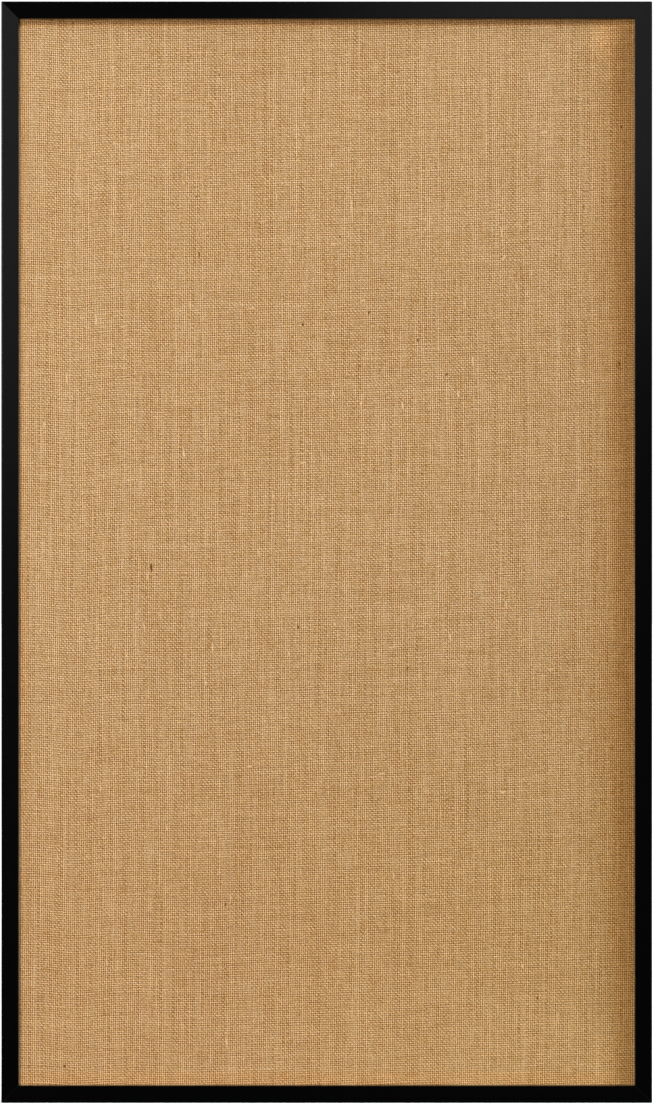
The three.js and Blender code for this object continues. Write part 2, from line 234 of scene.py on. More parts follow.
# Bits in the cloth, in the photograph's pixels: x, y, length, width, and turn from upright in degrees
FLECKS_PX = (
    (151, 568, 9, 2.1, 3), (369, 312, 3, 2.0, 60), (418, 340, 3, 2.0, 20), (447, 374, 3, 1.8, 80),
    (303, 324, 3, 1.6, 35), (298, 627, 3, 2.0, 15), (408, 668, 3, 1.8, 70), (225, 905, 3, 2.0, 40),
    (620, 363, 3, 1.8, 25), (538, 999, 3, 1.8, 50), (64, 1067, 3, 1.8, 65), (622, 126, 3, 1.6, 10),
    (199, 254, 6, 1.3, 2), (196, 196, 3, 1.5, 70), (219, 74, 2, 1.5, 30), (154, 176, 2, 1.5, 45),
    (340, 236, 2, 1.5, 20),
)
BROWN_PX = ((590, 190, 15, 1.5, 88), (398, 71, 4, 2.2, 80), (571, 204, 7, 1.6, 100), (584, 206, 7, 1.5, 2))
SLUBS_PX = ((504, 258, 6, 2.6, 60), (530, 80, 20, 1.3, 0), (352, 210, 24, 1.3, 0))
BIT_PROUD = 0.18 * MM
BIT_STEPS = 6
BIT_SIDES = 6
BIT_END = 0.02
BIT_WANDER = 0.3
BIT_BENDS = 2.2
SLUBS = 90
SLUB_MARGIN = 24 * MM
SLUB_UPRIGHT_SHARE = 0.7
SLUB_LENGTH = (3, 12)  # in millimetres
SLUB_WIDTH = (0.9, 1.6)  # in millimetres
SLUB_PROUD = 0.22 * MM

# Frame and hardware, with noise scales per metre
# width of the painted highlight along the mitres
MITRE_HIGHLIGHT_WIDTH = 0.8 * MM
RUB_ACROSS = 900
RUB_ALONG = 12
FRONT_ROUGHNESS = 0.2475
REAR_ROUGHNESS = 0.62
SPANGLE_SCALE = 420.0
GRANULE_SCALE = 380.0
YARN_HAIR_SCALE = (900, 900, 260)
FELT_TURNS = (0.3, 1.25, 2.4, 3.3)
FELT_SHORTENING = (1.0, 1.0, 0.18)
EDGE_WIDTH = 0.12 * MM
EDGE_SEGMENTS = 2
EDGE_ANGLE = math.radians(50)

# A face's direction towards the wall: where it starts to count as front or rear, and where it fully does
FACING_FRONT = (-0.3, -0.9)
FACING_REAR = (0.3, 0.9)

# Studio
WHITE = (1.0, 1.0, 1.0)
COOL = (0.93, 1.01, 1.17)
WARM = (1.045, 0.985, 0.86)
ROOM_BESIDE = (0.45, 0.75)
ROOM_BEHIND = (-0.1, 0.4)
ROOM_LIGHT = 0.55
ROOM_DARK = 0.005
MIRRORED_BEHIND = 0.40
MIRRORED_BESIDE = 0.15
MIRRORED_DARK = 0.003
FLOOR_REACH = 30.0
FLOOR_NEAR = 0.8
FLOOR_FAR = 3.2
FLOOR_GLOW = 0.40
FLOOR_GLOW_GAIN = 0.60

panel_low, panel_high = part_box("burlap_cover")
hem_face = panel_high.y - CLOTH_THICKNESS  # where the hem lies flat, below its folds and staples


def srgb(red, green, blue):
    """A colour given as 8-bit values, as linear light."""
    def linear(value):
        share = value / 255
        return share / 12.92 if share <= 0.04045 else ((share + 0.055) / 1.055) ** 2.4
    return (linear(red), linear(green), linear(blue), 1.0)


def clamp(value):
    """The value, kept between 0 and 1."""
    return min(1.0, max(0.0, value))


def noise_at(x, z, scale, seed):
    """Smooth noise over the board's face, from about -1 to 1."""
    return noise.noise(Vector((x * scale[0], z * scale[1], seed)))


# Shader trees


class Graph:
    """Adds nodes to a tree by short calls, each of which gives back an output socket."""

    def __init__(self, tree):
        self.tree = tree
        tree.nodes.clear()

    def feed(self, socket, value):
        if isinstance(value, bpy.types.NodeSocket):
            self.tree.links.new(value, socket)
        else:
            socket.default_value = value

    def node(self, kind, inputs, output=0, **settings):
        made = self.tree.nodes.new("ShaderNode" + kind)
        for name, value in settings.items():
            setattr(made, name, value)
        for key, value in inputs.items():
            self.feed(made.inputs[key], value)
        return made.outputs[output]

    def math(self, operation, *values):
        return self.node("Math", dict(enumerate(values)), operation=operation)

    def add(self, *values):
        total = values[0]
        for value in values[1:]:
            total = self.math("ADD", total, value)
        return total

    def times(self, a, b):
        return self.math("MULTIPLY", a, b)

    def raised(self, value, gain, base):
        """The base, plus the value times the gain."""
        return self.math("MULTIPLY_ADD", value, gain, base)

    def between(self, share, a, b):
        """The number a where the share is 0, and b where it is 1."""
        return self.node("Mix", {0: share, 2: a, 3: b}, data_type="FLOAT")

    def vector(self, x, y, z):
        return self.node("CombineXYZ", {"X": x, "Y": y, "Z": z})

    def split(self, vector):
        parts = self.tree.nodes.new("ShaderNodeSeparateXYZ")
        self.feed(parts.inputs[0], vector)
        return list(parts.outputs)

    def place(self):
        """The point's place on its own piece."""
        return self.node("TexCoord", {}, output=3)

    def facing(self, start, end):
        """0 to 1 as a face turns from one direction towards the wall to another."""
        _, towards_wall, _ = self.split(self.node("NewGeometry", {}, output=1))
        return self.slope(towards_wall, start, end)

    def stretched(self, vector, scale):
        return self.node("Mapping", {"Vector": vector, "Scale": scale})

    def noise(self, vector, scale=1.0, detail=0.0, roughness=0.5):
        """Smooth noise with its middle at 0, from about -0.5 to 0.5."""
        inputs = {"Vector": vector, "Scale": scale, "Detail": detail, "Roughness": roughness}
        return self.math("SUBTRACT", self.node("TexNoise", inputs), 0.5)

    def slope(self, value, start, end, top=1.0):
        """0 up to the start, then rising evenly to the top at the end."""
        return self.node("MapRange", {"Value": value, "From Min": start, "From Max": end, "To Max": top})

    def pulse(self, value, middle, reach):
        """1 at the middle, and nearly 0 at twice the reach from it."""
        share = self.math("DIVIDE", self.math("SUBTRACT", value, middle), reach)
        return self.math("EXPONENT", self.times(self.times(share, share), -1.0))

    def ramp(self, value, stops):
        made = self.tree.nodes.new("ShaderNodeValToRGB")
        points = made.color_ramp.elements
        while len(points) < len(stops):
            points.new(0.5)
        for point, (place, colour) in zip(points, stops):
            point.position = place
            point.color = colour
        self.feed(made.inputs[0], value)
        return made.outputs[0]

    def mix(self, share, a, b, blend="MIX"):
        return self.node("Mix", {0: share, 6: a, 7: b}, output=2, data_type="RGBA", blend_type=blend)

    def bump(self, height, distance, strength=1.0):
        return self.node("Bump", {"Height": height, "Distance": distance, "Strength": strength})

    def surface(self, **inputs):
        """The tree's shader. A name's underscores stand for spaces."""
        names = {name.replace("_", " "): value for name, value in inputs.items()}
        shader = self.node("BsdfPrincipled", names)
        out = self.tree.nodes.new("ShaderNodeOutputMaterial")
        self.feed(out.inputs["Surface"], shader)


def new_material(name):
    material = bpy.data.materials.new(name)
    material.use_nodes = True
    return material, Graph(material.node_tree)


# Burlap

WEAVE = "weave"  # the cloth's own coordinates, as it lay flat
Yarns = namedtuple("Yarns", "number gap count_across offset tone swell")


def yarn_set(graph, across, along, pitch, sway_scale, sway_reach, tone_scale, seed):
    """Parallel yarns, counted across them, with the place across each yarn, its tone and its swelling."""
    sway_place = graph.vector(graph.times(across, SWAY_ACROSS), graph.times(along, sway_scale), seed)
    fine_across = graph.times(across, JITTER_ACROSS)
    jitter_place = graph.vector(fine_across, graph.times(along, JITTER_ALONG), seed + JITTER_SEED)
    count = graph.add(
        graph.math("DIVIDE", across, pitch),
        graph.times(graph.noise(sway_place), sway_reach),
        graph.times(graph.noise(jitter_place), YARN_JITTER),
    )
    number = graph.math("FLOOR", count)
    gap = graph.math("ROUND", count)
    offset = graph.math("SUBTRACT", graph.math("FRACT", count), 0.5)
    tone_along = graph.times(along, tone_scale)
    tone_place = graph.vector(graph.times(number, TONE_STEP), tone_along, seed + TONE_SEED)
    tone = graph.noise(tone_place, detail=5.0, roughness=0.9)
    swell_along = graph.times(along, SWELL_ALONG)
    swell_place = graph.vector(graph.times(number, SWELL_STEP), swell_along, seed + SWELL_SEED)
    swell = graph.noise(swell_place, detail=2.0, roughness=0.8)
    return Yarns(number, gap, count, offset, tone, swell)


def crown(graph, side, offset, slant):
    """How high a yarn stands, from 1 over its neighbour to -1 under the next."""
    leaning = graph.raised(slant, TWIST, offset)
    return graph.times(side, graph.math("COSINE", graph.times(leaning, math.pi)))


def yarn_body(graph, yarns, fall):
    """A yarn's rounding: 1 along its middle, and lower towards its sides."""
    width = graph.add(YARN_WIDTH_SHARE, graph.times(yarns.swell, YARN_SWELL))
    share = graph.math("DIVIDE", graph.times(yarns.offset, 2.0), width)
    return graph.math("SUBTRACT", 1.0, graph.times(fall, graph.times(share, share)))


def height_on_weft(graph, across, up):
    """The height as the weft counts it, which climbs to the right and is pulled at two places."""
    past_start = graph.add(across, CLIMB_START)
    climb = graph.times(graph.math("SMOOTH_MAX", past_start, 0.0, CLIMB_SOFTNESS), CLIMB)
    for middle, reach, depth in PULLS:
        climb = graph.raised(graph.pulse(across, middle, reach), depth, climb)
    return graph.math("SUBTRACT", up, climb)


def painted_brightening(graph, across, up):
    """Painted light: how much paler the cloth is towards its left side, its head and its foot."""
    rightwards = graph.slope(across, *RIGHTWARDS)
    side = graph.slope(across, *PALE_SIDE)
    corner = graph.add(1.0, graph.slope(across, *HEAD_CORNER))
    head = graph.times(graph.slope(up, *PALE_HEAD), corner)
    foot_share = graph.raised(rightwards, FOOT_RIGHTWARDS, FOOT_AT_LEFT)
    foot = graph.times(graph.slope(up, *PALE_FOOT), foot_share)
    low = graph.times(graph.slope(up, *PALE_LOW), rightwards)
    return graph.add(side, head, foot, low)


def painted_frame_light_and_tints(graph, colour, across, up):
    """Painted shade and light: warmer cloth along the frame in the hue of its shade, and lighter bands
    beside the frame where its shadow falls; also warmer cloth towards the foot, and yellower cloth towards
    the right and the foot.
    """
    front = graph.facing(*FACING_FRONT)
    # Painted shade: along the frame the cloth takes the warm hue of the frame's shadow; towards the foot
    # it is only warmer
    right = graph.math("POWER", graph.slope(across, *WARM_RIGHT), WARM_RIGHT_POWER)
    side = graph.math("MAXIMUM", right, graph.slope(across, *WARM_LEFT))
    foot = graph.add(graph.slope(up, *WARM_FOOT), graph.slope(up, *WARM_RIM))
    end = graph.math("MAXIMUM", graph.slope(up, *WARM_TOP), foot)
    frame_shade_and_foot_warmth = graph.times(front, graph.math("MAXIMUM", side, end))
    # Painted light: lighter bands beside the frame, where its shadow falls on the cloth
    lift_right = graph.times(graph.pulse(across, *BAND_RIGHT), BAND_RIGHT_LIFT)
    lift_top = graph.times(graph.pulse(up, *BAND_TOP), BAND_TOP_LIFT)
    corner_lift = graph.add(graph.slope(up, *BAND_UPPER_LIFT), graph.slope(up, *BAND_LOWER_LIFT))
    lift_corners = graph.times(graph.pulse(across, *BAND_CORNERS), corner_lift)
    lift = graph.raised(front, graph.add(lift_right, lift_top, lift_corners), 1.0)
    downwards = graph.raised(graph.slope(up, *YELLOW_DOWNWARDS), YELLOW_GAIN, YELLOW_AT_HEAD)
    yellow = graph.times(graph.slope(across, *YELLOW_RIGHTWARDS), downwards)
    tinted = graph.mix(graph.times(front, yellow), colour, YELLOW_TINT, blend="MULTIPLY")
    tinted = graph.mix(frame_shade_and_foot_warmth, tinted, WARM_TINT, blend="MULTIPLY")
    return graph.node("VectorMath", {0: tinted, "Scale": lift}, operation="SCALE")


def burlap_material():
    """A plain weave of jute: each yarn rises over one neighbour and dips under the next."""
    material, graph = new_material("burlap")
    flat_place = graph.node("Attribute", {}, output=1, attribute_name=WEAVE)
    across, up, _ = graph.split(flat_place)
    up_weft = height_on_weft(graph, across, up)
    warp = yarn_set(
        graph, across, up, WARP_PITCH, sway_scale=3.0, sway_reach=2.5, tone_scale=2.2, seed=3.0)
    weft = yarn_set(
        graph, up_weft, across, WEFT_PITCH, sway_scale=4.0, sway_reach=0.8, tone_scale=6.0, seed=41.0)
    turn = graph.math("FLOORED_MODULO", graph.add(warp.number, weft.number), 2.0)
    side = graph.math("SUBTRACT", 1.0, graph.times(turn, 2.0))
    warp_crown = crown(graph, side, weft.offset, warp.offset)
    weft_crown = crown(graph, side, warp.offset, weft.offset)
    warp_height = graph.add(yarn_body(graph, warp, WARP_FALL), graph.times(warp_crown, CRIMP))
    weft_height = graph.add(yarn_body(graph, weft, WEFT_FALL), graph.times(weft_crown, -CRIMP))
    warp_over = graph.math("GREATER_THAN", warp_height, weft_height)
    height = graph.math("MAXIMUM", graph.math("MAXIMUM", warp_height, weft_height), GAP_DEPTH)

    over_tone = graph.between(
        warp_over, graph.times(weft.tone, WEFT_TONE), graph.times(warp.tone, WARP_TONE))
    # Painted shade: the tone falls on the yarns' sides and in the gaps between yarns, by a depth that
    # differs from gap to gap
    hole_place = graph.vector(warp.gap, weft.gap, HOLE_SEED)
    hole = graph.node("TexWhiteNoise", {"Vector": hole_place}, noise_dimensions="3D")
    depth = graph.raised(hole, HOLE_SPREAD, WEAVE_SHADE_TONE - HOLE_SPREAD / 2)
    relief = graph.times(graph.math("SUBTRACT", height, 1.0), depth)
    fibre_place = graph.vector(warp.count_across, weft.count_across, FIBRE_SEED)
    speckle = graph.times(graph.noise(fibre_place, FIBRE_SCALE), FIBRE_TONE)
    light = graph.add(MIDDLE_TONE, over_tone, relief, speckle, painted_brightening(graph, across, up))
    colour = graph.ramp(light, [
        (0.00, srgb(95, 46, 0)),
        (0.25, srgb(142, 94, 27)),
        (0.50, srgb(187, 145, 92)),
        (0.75, srgb(227, 190, 147)),
        (1.00, srgb(246, 221, 187)),
    ])
    graph.surface(
        Base_Color=painted_frame_light_and_tints(graph, colour, across, up),
        Roughness=0.92,
        Specular_IOR_Level=0.2,
        Normal=graph.bump(height, YARN_HEIGHT, BUMP_STRENGTH),
    )
    return material


def wrap_profile():
    """From the front outwards, round the edge and in along the hem: (inset, y, length of cloth passed)."""
    front = panel_low.y
    rear = hem_face
    points = []
    for i in range(1, BEND_STEPS + 1):
        angle = math.pi / 2 * i / BEND_STEPS
        points.append((CLOTH_BEND * (1 - math.sin(angle)), front + CLOTH_BEND * (1 - math.cos(angle))))
    for share in (0.33, 0.67):
        points.append((0.0, front + CLOTH_BEND + (rear - front - CLOTH_BEND * 2) * share))
    for i in range(BEND_STEPS + 1):
        angle = math.pi / 2 * i / BEND_STEPS
        points.append((CLOTH_BEND * (1 - math.cos(angle)), rear - CLOTH_BEND * (1 - math.sin(angle))))
    for i in range(1, HEM_STEPS + 1):
        points.append((CLOTH_BEND + (HEM_WIDTH - CLOTH_BEND) * i / HEM_STEPS, rear))
    passed = 0.0
    last = (CLOTH_BEND, front)
    profile = []
    for inset, y in points:
        passed += math.dist(last, (inset, y))
        profile.append((inset, y, passed))
        last = (inset, y)
    return profile


def swell_at(x, z):
    """How far the stretched cloth stands proud of the cork."""
    reach = min(panel_high.x - abs(x), panel_high.z - z, z - panel_low.z)
    fade = clamp((reach - SLACK_START) / SLACK_FADE)
    broad = SLACK_BROAD * (noise_at(x, z, BROAD_SCALE, BROAD_SEED) + SLACK_MIDDLE)
    fine = SLACK_FINE * (noise_at(x, z, FINE_SCALE, FINE_SEED) + SLACK_MIDDLE)
    return fade * (broad + fine)


def ripple_at(x, z, inset):
    """How far the hem's cut edge lifts between its staples."""
    from_side = panel_high.x - abs(x)
    from_end = min(panel_high.z - z, z - panel_low.z)
    past_fold = clamp((max(from_side, from_end) - FOLD_END) / RIPPLE_FADE)
    loose = max(0.0, (inset - RIPPLE_START) / (HEM_WIDTH - RIPPLE_START))
    wave = max(0.0, 0.5 + noise_at(x, z, RIPPLE_SCALE, RIPPLE_SEED))
    return RIPPLE_LIFT * loose * loose * past_fold * wave


def burlap_sheet():
    """The cover: one sheet over the front, round all four edges and hemmed behind."""
    width = panel_high.x - panel_low.x - CLOTH_BEND * 2
    height = panel_high.z - panel_low.z - CLOTH_BEND * 2
    columns = round(width / CELL)
    rows = round(height / CELL)
    middle = (panel_high.z + panel_low.z) / 2
    points = []
    cloth = []
    faces = []
    grid = {}
    for row in range(rows + 1):
        for column in range(columns + 1):
            x = width * (column / columns - 0.5)
            z = middle + height * (row / rows - 0.5)
            grid[column, row] = len(points)
            points.append((x, panel_low.y - swell_at(x, z), z))
            cloth.append((x, z, 0.0))
    for row in range(rows):
        for column in range(columns):
            faces.append((
                grid[column, row], grid[column + 1, row], grid[column + 1, row + 1], grid[column, row + 1],
            ))
    rim = [(column, 0) for column in range(columns)]
    rim += [(columns, row) for row in range(rows)]
    rim += [(column, rows) for column in range(columns, 0, -1)]
    rim += [(0, row) for row in range(rows, 0, -1)]
    last_ring = [grid[place] for place in rim]
    for inset, y, passed in wrap_profile():
        ring = []
        for column, row in rim:
            side = (column == columns) - (column == 0)
            end = (row == rows) - (row == 0)
            flat_x = width * (column / columns - 0.5)
            flat_z = middle + height * (row / rows - 0.5)
            if inset > CLOTH_BEND:
                inner_width = width / 2 + CLOTH_BEND - inset
                inner_height = height / 2 + CLOTH_BEND - inset
                x = max(-inner_width, min(inner_width, flat_x))
                z = max(middle - inner_height, min(middle + inner_height, flat_z))
            else:
                out = CLOTH_BEND - inset - (CORNER_PULL if side and end else 0.0)
                x = flat_x + side * out
                z = flat_z + end * out
            ring.append(len(points))
            points.append((x, y + ripple_at(x, z, inset), z))
            cloth.append((flat_x + side * passed, flat_z + end * passed, 0.0))
        for i, vertex in enumerate(ring):
            follow = (i + 1) % len(ring)
            faces.append((last_ring[i], vertex, ring[follow], last_ring[follow]))
        last_ring = ring
    return new_mesh("burlap", points, faces, cloth)


def new_mesh(name, points, faces, cloth=None):
    mesh = bpy.data.meshes.new(name)
    mesh.from_pydata(points, [], faces)
    mesh.validate()
    if cloth:
        mesh.attributes.new(WEAVE, "FLOAT_VECTOR", "POINT").data.foreach_set(
            "vector", [value for point in cloth for value in point]
        )
    piece = bpy.data.objects.new(name, mesh)
    bpy.context.scene.collection.objects.link(piece)
    for polygon in mesh.polygons:
        polygon.use_smooth = True
    return piece


def fold_patch(side, end):
    """A folded corner: the end hem laid over the side hem, with a slanted edge that rounds down to it."""
    edge_x = side * panel_high.x
    edge_z = panel_high.z if end > 0 else panel_low.z
    wrapped = math.pi / 2 * CLOTH_BEND * 2 + (hem_face - panel_low.y - CLOTH_BEND * 2)
    descent = FOLD_END - HEM_WIDTH + FOLD_SETTLE
    points = []
    cloth = []
    faces = []
    for row in range(FOLD_ROWS + 1):
        inward = FOLD_START + (HEM_WIDTH - FOLD_START) * row / FOLD_ROWS
        slant = FOLD_TOE + (FOLD_HEEL - FOLD_TOE) * row / FOLD_ROWS
        for column in range(FOLD_COLUMNS + 1):
            across = slant + (FOLD_END - slant) * (column / FOLD_COLUMNS)
            round_off = min(1.0, (across - slant) / FOLD_ROUND)
            lie_down = clamp((across - HEM_WIDTH + FOLD_SETTLE) / descent)
            lift = FOLD_LIFT * (1 - lie_down * lie_down * (3 - 2 * lie_down))
            y = hem_face + lift * math.sqrt(1 - (1 - round_off) ** 2) - FOLD_SINK
            x = edge_x - side * across
            z = edge_z - end * inward
            points.append((x, y, z))
            cloth.append((x, edge_z + end * (wrapped + inward), 0.0))
    for row in range(FOLD_ROWS):
        for column in range(FOLD_COLUMNS):
            first = row * (FOLD_COLUMNS + 1) + column
            above = first + FOLD_COLUMNS + 1
            faces.append((first, first + 1, above + 1, above))
    place = f"{'upper' if end > 0 else 'lower'}_{'right' if side > 0 else 'left'}"
    patch = new_mesh(f"hem_fold_{place}", points, faces, cloth)
    thicken = patch.modifiers.new("thickness", "SOLIDIFY")
    thicken.thickness = FOLD_THICKNESS
    thicken.offset = side * end  # inwards, as the faces of mirrored corners look opposite ways
    return patch


def join_rings(faces, first, rings, sides):
    """Adds the faces between rings of points that follow each other in the list."""
    for i in range(rings - 1):
        for k in range(sides):
            here = first + i * sides + k
            beside = first + i * sides + (k + 1) % sides
            faces.append((here, beside, beside + sides, here + sides))


def tube(points, faces, path, radii, sides):
    """Adds a round bar along a path to lists of points and faces, closed at both ends."""
    first = len(points)
    for i, centre in enumerate(path):
        before = Vector(path[max(0, i - 1)])
        after = Vector(path[min(len(path) - 1, i + 1)])
        along = (after - before).normalized()
        side = along.orthogonal().normalized()
        up = along.cross(side)
        for k in range(sides):
            angle = math.tau * k / sides
            offset = side * math.cos(angle) + up * math.sin(angle)
            points.append(tuple(Vector(centre) + offset * radii[i]))
    join_rings(faces, first, len(path), sides)
    faces.append(tuple(first + k for k in reversed(range(sides))))
    faces.append(tuple(first + (len(path) - 1) * sides + k for k in range(sides)))


def hem_sides():
    """The four hems as (start, direction along, direction inwards, length), at the hem's cut edge."""
    low_x = panel_low.x + HEM_WIDTH
    high_x = panel_high.x - HEM_WIDTH
    low_z = panel_low.z + HEM_WIDTH
    high_z = panel_high.z - HEM_WIDTH
    right = Vector((1, 0, 0))
    up = Vector((0, 0, 1))
    return [
        (Vector((low_x, 0, high_z)), right, -up, high_x - low_x),
        (Vector((low_x, 0, low_z)), right, up, high_x - low_x),
        (Vector((low_x, 0, low_z)), up, right, high_z - low_z),
        (Vector((high_x, 0, low_z)), up, -right, high_z - low_z),
    ]


def hem_fray():
    """Yarn ends that hang out of the hem's cut edge."""
    points = []
    faces = []
    level = hem_face - CLOTH_THICKNESS * 0.5
    for start, along, inwards, length in hem_sides():
        pitch = WARP_PITCH if along.x else WEFT_PITCH
        for i in range(int(length / pitch)):
            if random.random() < FRAY_BARE_SHARE:
                continue
            short = random.random() < FRAY_SHORT_SHARE
            reach = random.uniform(*(FRAY_SHORT if short else FRAY_LONG)) * MM
            lean = random.uniform(-FRAY_LEAN, FRAY_LEAN)
            root = start + along * (i + 0.5) * pitch - inwards * FRAY_ROOT
            path = []
            for share in FRAY_PLACES:
                out = inwards * (reach * share + FRAY_START) + along * (lean * reach * share * share)
                y = level - random.uniform(0.0, FRAY_SINK) * MM * share
                path.append(tuple(root + out + Vector((0, y, 0))))
            thick = random.uniform(*FRAY_RADIUS) * MM
            tube(points, faces, path, [thick * taper for taper in FRAY_TAPER], FRAY_SIDES)
    return new_mesh("hem_fray", points, faces)


def staple(points, faces, place, along, level):
    """A crown of flat wire across the hem, with both legs driven into the core."""
    half = STAPLE_WIDTH / 2
    profile = [(-half, -STAPLE_LEG), (-half, -STAPLE_BEND)]
    profile += [(-half + STAPLE_EASE, -STAPLE_EASE), (-half + STAPLE_BEND, 0.0), (half - STAPLE_BEND, 0.0)]
    profile += [(half - STAPLE_EASE, -STAPLE_EASE), (half, -STAPLE_BEND), (half, -STAPLE_LEG)]
    across = along.cross(Vector((0, 1, 0)))
    first = len(points)
    for i, (run, depth) in enumerate(profile):
        before = profile[max(0, i - 1)]
        after = profile[min(len(profile) - 1, i + 1)]
        heading = Vector((after[0] - before[0], after[1] - before[1])).normalized()
        inner = Vector((heading.y, -heading.x)) * STAPLE_THICKNESS
        for side, deep in ((-1, 0), (1, 0), (1, 1), (-1, 1)):
            spot = place + along * (run + inner.x * deep) + across * (side * STAPLE_WIRE / 2)
            spot.y = level + depth + inner.y * deep
            points.append(tuple(spot))
    for i in range(len(profile) - 1):
        for k in range(4):
            here = first + i * 4 + k
            beside = first + i * 4 + (k + 1) % 4
            faces.append((here, here + 4, beside + 4, beside))
    faces.append((first, first + 1, first + 2, first + 3))
    last = first + (len(profile) - 1) * 4
    faces.append((last + 3, last + 2, last + 1, last))


def hem_staples():
    """Staples all along the hem, and one slanted staple in each folded corner."""
    points = []
    faces = []
    level = hem_face + STAPLE_PROUD
    for start, along, inwards, length in hem_sides():
        count = round(length / STAPLE_PITCH)
        for i in range(count):
            run = length * (i + 0.5) / count + random.uniform(-STAPLE_STRAY, STAPLE_STRAY) * MM
            tilt = random.uniform(-STAPLE_TILT, STAPLE_TILT)
            heading = (along + inwards * tilt).normalized()
            inset = STAPLE_INSET + random.uniform(-STAPLE_DRIFT, STAPLE_DRIFT) * MM
            staple(points, faces, start + along * run - inwards * inset, heading, level)
    lean_x, lean_z = CORNER_STAPLE_LEAN
    for side in (-1, 1):
        for end in (-1, 1):
            edge_z = panel_high.z if end > 0 else panel_low.z
            x = side * (panel_high.x - CORNER_STAPLE_IN)
            place = Vector((x, 0, edge_z - end * CORNER_STAPLE_UP))
            heading = Vector((-side * lean_x, 0, end * lean_z)).normalized()
            staple(points, faces, place, heading, level + CORNER_STAPLE_PROUD)
    piece = new_mesh("hem_staples", points, faces)
    for polygon in piece.data.polygons:
        polygon.use_smooth = False
    return piece


def photo_place(pixel_x, pixel_y):
    """The point of the cloth's front face that the photograph shows at a pixel."""
    across = (pixel_x - BOARD_LEFT_PX) / (BOARD_RIGHT_PX - BOARD_LEFT_PX)
    down = (pixel_y - BOARD_TOP_PX) / (BOARD_BOTTOM_PX - BOARD_TOP_PX)
    x = cad_low.x + (cad_high.x - cad_low.x) * across
    z = cad_high.z - (cad_high.z - cad_low.z) * down
    return Vector((x, panel_low.y - swell_at(x, z), z))


def fibre_bit(points, faces, centre, along, length, width, proud):
    """A flat spindle that lies on the cloth: a bit of stalk or a thick place in a yarn."""
    across = along.cross(Vector((0, 1, 0)))
    first = len(points)
    for i in range(BIT_STEPS + 1):
        share = i / BIT_STEPS * 2 - 1
        girth = math.sqrt(max(BIT_END, 1 - share * share))
        wander = across * (width * BIT_WANDER * math.sin(share * BIT_BENDS))
        for k in range(BIT_SIDES):
            angle = math.tau * k / BIT_SIDES
            spot = centre + along * (length / 2 * share) + wander
            spot += across * (width / 2 * girth * math.cos(angle))
            spot.y -= proud * girth * math.sin(angle)
            points.append(tuple(spot))
    join_rings(faces, first, BIT_STEPS + 1, BIT_SIDES)


def bits_in_photo(points, faces, bits):
    """Adds the bits that the photograph shows in the cloth."""
    for pixel_x, pixel_y, length, width, turn in bits:
        along = Vector((math.sin(math.radians(turn)), 0, math.cos(math.radians(turn))))
        place = photo_place(pixel_x, pixel_y)
        fibre_bit(points, faces, place, along, length * ACROSS_PER_PX, width * ACROSS_PER_PX, BIT_PROUD)


def photo_bits(name, bits):
    points = []
    faces = []
    bits_in_photo(points, faces, bits)
    return new_mesh(name, points, faces)


def pale_slubs():
    """Thick places in single yarns, which catch the light."""
    points = []
    faces = []
    bits_in_photo(points, faces, SLUBS_PX)
    for _ in range(SLUBS):
        x = random.uniform(panel_low.x + SLUB_MARGIN, panel_high.x - SLUB_MARGIN)
        z = random.uniform(panel_low.z + SLUB_MARGIN, panel_high.z - SLUB_MARGIN)
        upright = random.random() < SLUB_UPRIGHT_SHARE
        along = Vector((0, 0, 1)) if upright else Vector((1, 0, 0))
        place = Vector((x, panel_low.y - swell_at(x, z), z))
        length = random.uniform(*SLUB_LENGTH) * MM
        width = random.uniform(*SLUB_WIDTH) * MM
        fibre_bit(points, faces, place, along, length, width, SLUB_PROUD)
    return new_mesh("burlap_slubs", points, faces)


def yarn_material(name, dark, light):
    """Loose jute: fine hairs along and across, with no weave of its own."""
    material, graph = new_material(name)
    place = graph.place()
    streak = graph.noise(graph.stretched(place, YARN_HAIR_SCALE), detail=3.0)
    mottle = graph.noise(place, scale=140.0, detail=2.0)
    graph.surface(
        Base_Color=graph.mix(graph.add(0.5, streak, mottle), dark, light),
        Roughness=graph.raised(streak, gain=0.1, base=0.9),
        Specular_IOR_Level=0.2,
        Normal=graph.bump(streak, distance=0.1 * MM, strength=0.4),
    )
    return material


# Frame and hardware


def rub_scale(tangent):
    """Scales that draw noise out along a rail, whose tangent points across it."""
    return tuple(RUB_ACROSS if part or index == 1 else RUB_ALONG for index, part in enumerate(tangent))


def painted_mitre_highlight(graph, place):
    """Painted highlight: 1 along the mitres, falling to 0 beside them."""
    across, _, up = graph.split(place)
    middle = (cad_low.z + cad_high.z) / 2
    from_side = graph.math("SUBTRACT", cad_high.x, graph.math("ABSOLUTE", across))
    from_middle = graph.math("ABSOLUTE", graph.math("SUBTRACT", up, middle))
    from_end = graph.math("SUBTRACT", cad_high.z - middle, from_middle)
    off_mitre = graph.math("ABSOLUTE", graph.math("SUBTRACT", from_side, from_end))
    return graph.slope(off_mitre, MITRE_HIGHLIGHT_WIDTH, 0.0)


